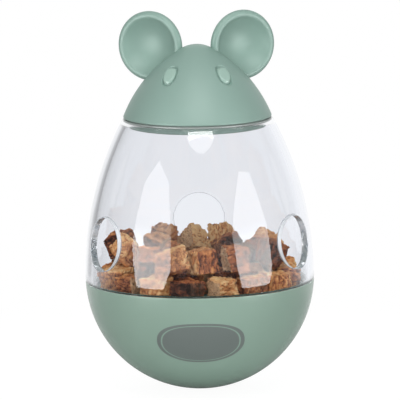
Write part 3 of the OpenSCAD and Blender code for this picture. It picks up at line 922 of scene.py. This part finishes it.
# Boxes beside the object: name, turn, and corners as millimetres across and up
SIDE_BOXES = (
    ("softbox_left", -48.0, (
        (-75, -8), (60, -8), (112, 35), (110, 120), (70, 215), (-20, 250), (-92, 190), (-112, 70),
    )),
    ("softbox_right", 52.5, (
        (-60, -10), (90, -10), (112, 30), (105, 95), (60, 208), (-15, 222), (-75, 165), (-110, 108), (-92, 40),
    )),
)
SIDE_AWAY = 300.0
SIDE_LOW = 9.5
SIDE_HIGH = 3.6
SIDE_LOW_Z = 0.05
SIDE_HIGH_Z = 0.12

# Room: the least light from all round, the room on the camera's side, and what the clear plastic shows
AMBIENT = 0.42
ROOM = 0.1
FALL = 0.78
FLAG = 0.58
SEEN_THROUGH = (0.885, 0.905, 0.95)
WHITE = (1.0, 1.0, 1.0)
FLOOR_LEVEL = 0.95


def softbox(name, turn, rise, away, size, shape, radiance, aim_z, use):
    """A soft lamp that looks at a height on the axis, from a turn about Z (0 is the camera's side) and a
    rise. A gloss lamp shows only in reflections, and a fill lamp in none."""
    data = bpy.data.lights.new(name, "AREA")
    data.shape = shape
    data.size, data.size_y = size
    area = size[0] * size[1] * (math.pi / 4 if shape == "ELLIPSE" else 1.0)
    data.energy = radiance * area * math.pi
    lamp = bpy.data.objects.new(name, data)
    lamp.visible_diffuse = use == "fill"
    lamp.visible_glossy = lamp.visible_transmission = use == "gloss"
    t, e = math.radians(turn), math.radians(rise)
    out = Vector((math.sin(t) * math.cos(e), -math.cos(t) * math.cos(e), math.sin(e)))
    lamp.location = Vector((0.0, 0.0, aim_z)) + out * away
    lamp.rotation_euler = out.to_track_quat("Z", "Y").to_euler()
    bpy.context.scene.collection.objects.link(lamp)


def side_box(name, turn, corners):
    """A soft box beside the object that shows only as gloss, brighter low down."""
    t = math.radians(turn)
    out, across = np.array([math.sin(t), -math.cos(t), 0.0]), np.array([math.cos(t), math.sin(t), 0.0])
    points = [out * SIDE_AWAY + across * u + (0.0, 0.0, z) for u, z in corners]
    material, tree = new_material(name)
    place = node(tree, "ShaderNodeTexCoord").outputs["Object"]
    height = node(tree, "ShaderNodeSeparateXYZ", in_0=place).outputs[2]
    strength = stretch(tree, height, SIDE_LOW_Z, SIDE_HIGH_Z, SIDE_LOW, SIDE_HIGH, "SMOOTHSTEP")
    glow = node(tree, "ShaderNodeEmission", in_Strength=strength)
    node(tree, "ShaderNodeOutputMaterial", in_Surface=glow.outputs[0])
    box = make_piece(name, points, [list(range(len(points)))], [material])
    box.visible_camera = box.visible_diffuse = box.visible_transmission = box.visible_shadow = False


def mirrored(tree, path):
    """1 for a ray that comes off a surface by gloss, and not for one that comes through it."""
    return math_node(tree, "SUBTRACT", path["Is Glossy Ray"], path["Is Transmission Ray"], True)


def side_shade(tree, x):
    """How bright the room is towards the left: it falls off, and a dark flag stands in it."""
    fall = math_node(
        tree, "MAXIMUM", stretch(tree, x, -0.42, -0.06, FALL, 1.0), stretch(tree, x, -0.9, -0.66, 1.0, FALL),
    )
    near = stretch(tree, x, -0.46, -0.38, FLAG, 1.0, "SMOOTHSTEP")
    far = stretch(tree, x, -0.66, -0.6, 1.0, FLAG, "SMOOTHSTEP")
    return math_node(tree, "MULTIPLY", fall, math_node(tree, "MAXIMUM", near, far))


def make_light():
    """The side boxes, the lamps and the room around them."""
    for box in SIDE_BOXES:
        side_box(*box)
    for lamp in LAMPS:
        softbox(*lamp)
    world = bpy.data.worlds.new("studio")
    world.use_nodes = True
    tree = world.node_tree
    tree.nodes.clear()
    way = node(tree, "ShaderNodeSeparateXYZ", in_0=node(tree, "ShaderNodeTexCoord").outputs["Generated"])
    path = node(tree, "ShaderNodeLightPath").outputs
    # White behind the object and a dim room on the camera's side
    behind = stretch(tree, way.outputs[1], 0.2, 0.8, ROOM, 1.0, "SMOOTHSTEP")
    behind = math_node(tree, "MULTIPLY", behind, stretch(tree, way.outputs[0], -0.8, -0.45, 0.25, 1.0))
    gloss = math_node(tree, "MULTIPLY", behind, mirrored(tree, path))
    straight = math_node(tree, "LESS_THAN", path["Glossy Depth"], 0.5)
    through = math_node(tree, "MAXIMUM", straight, behind)
    through = math_node(tree, "MULTIPLY", side_shade(tree, way.outputs[0]), through)
    through = math_node(tree, "MULTIPLY", through, path["Is Transmission Ray"])
    shown = math_node(tree, "MAXIMUM", path["Is Camera Ray"], math_node(tree, "MAXIMUM", gloss, through))
    first = math_node(tree, "LESS_THAN", path["Diffuse Depth"], 0.5)
    level = math_node(tree, "MAXIMUM", math_node(tree, "MULTIPLY", shown, first), AMBIENT)
    tint = mix_colour(tree, path["Is Transmission Ray"], WHITE, SEEN_THROUGH)
    back = node(tree, "ShaderNodeBackground", in_Color=tint, in_Strength=level)
    node(tree, "ShaderNodeOutputWorld", in_Surface=back.outputs[0])
    bpy.context.scene.world = world


def make_floor():
    """A white floor that shows the shadow near the object and runs out into plain white."""
    material, tree = new_material("white_floor")
    place = node(tree, "ShaderNodeTexCoord").outputs["Object"]
    path = node(tree, "ShaderNodeLightPath").outputs
    away = node(tree, "ShaderNodeVectorMath", operation="LENGTH", in_0=place).outputs[1]
    fade = stretch(tree, away, 0.06, 0.17, 0.0, 1.0, "SMOOTHSTEP")
    depth = node(tree, "ShaderNodeSeparateXYZ", in_0=place).outputs[1]
    behind = stretch(tree, depth, -0.02, 0.12, ROOM, 1.0)
    gloss = mirrored(tree, path)
    way = node(tree, "ShaderNodeVectorMath", operation="NORMALIZE", in_0=place).outputs[0]
    shade = side_shade(tree, node(tree, "ShaderNodeSeparateXYZ", in_0=way).outputs[0])
    shade = math_node(tree, "MAXIMUM", shade, stretch(tree, away, 0.22, 0.3, 1.0, 0.0))
    straight = math_node(tree, "LESS_THAN", path["Glossy Depth"], 0.5)
    through = math_node(tree, "MULTIPLY", shade, math_node(tree, "MAXIMUM", straight, behind))
    through = math_node(tree, "MULTIPLY", through, path["Is Transmission Ray"])
    seen = math_node(tree, "MAXIMUM", path["Is Camera Ray"], through)
    level = math_node(tree, "MAXIMUM", seen, math_node(tree, "MULTIPLY", gloss, behind))
    white = node(tree, "ShaderNodeBsdfDiffuse", in_Color=(0.85, 0.85, 0.85, 1.0))
    dim = node(tree, "ShaderNodeBsdfDiffuse", in_Color=(0.1, 0.1, 0.1, 1.0))
    tint = mix_colour(tree, path["Is Transmission Ray"], WHITE, SEEN_THROUGH)
    near_level = math_node(tree, "MULTIPLY", level, FLOOR_LEVEL)
    glow = node(tree, "ShaderNodeEmission", in_Color=tint, in_Strength=near_level)
    near = node(tree, "ShaderNodeAddShader", in_0=dim.outputs[0], in_1=glow.outputs[0])
    far = node(tree, "ShaderNodeEmission", in_Color=tint, in_Strength=level)
    shown = node(tree, "ShaderNodeMixShader", in_0=fade, in_1=near.outputs[0], in_2=far.outputs[0])
    first = math_node(tree, "LESS_THAN", path["Diffuse Depth"], 0.5)
    picture = math_node(tree, "MAXIMUM", path["Is Camera Ray"], path["Is Transmission Ray"])
    picture = math_node(tree, "MULTIPLY", math_node(tree, "MAXIMUM", picture, gloss), first)
    both = node(tree, "ShaderNodeMixShader", in_0=picture, in_1=white.outputs[0], in_2=shown.outputs[0])
    node(tree, "ShaderNodeOutputMaterial", in_Surface=both.outputs[0])
    material.cycles.emission_sampling = "NONE"
    turns = np.arange(96) * 2 * math.pi / 96
    points, faces = spun([(0.0, -0.05), (60.0, -0.05), (240.0, -0.05), (900.0, -0.05)], turns, False)
    floor = make_piece("floor", points, faces, [material])
    if floor.data.polygons[0].normal.z < 0:
        floor.data.flip_normals()


bpy.context.scene.view_settings.view_transform = "Standard"
make_camera()
make_light()
make_floor()

bowl, shell = make_bowl(), make_shell()
seal, plug, head = make_seal(), make_plug(), make_head()
ears = {"ear_left": make_ear(-1), "ear_right": make_ear(1)}
treats = make_treats()

rides = [
    (bowl, "base", "sage_plastic", "base_bowl"), (shell, "base", "clear_plastic", "clear_shell"),
    (seal, "seal", "seal_rubber", "lid_seal"), (plug, "lid", "sage_plastic", "lid_plug"),
    (head, "lid", "sage_plastic", "head_cap"),
]
rides += [(ear, "lid", "sage_plastic", name) for name, ear in ears.items()]
rides += [(chunk, "base", "dried_meat", name) for chunk, name in treats]
for piece, body, slot, name in rides:
    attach(piece, body)
    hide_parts(name)

# The floor plate and the ballast's pieces keep their solids
for name, material in (
    ("floor_plate", satin_sage), ("ballast_weight", iron),
    ("ballast_washer", plated), ("ballast_screw", plated),
):
    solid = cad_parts[name]
    solid.data.materials.clear()
    solid.data.materials.append(material)
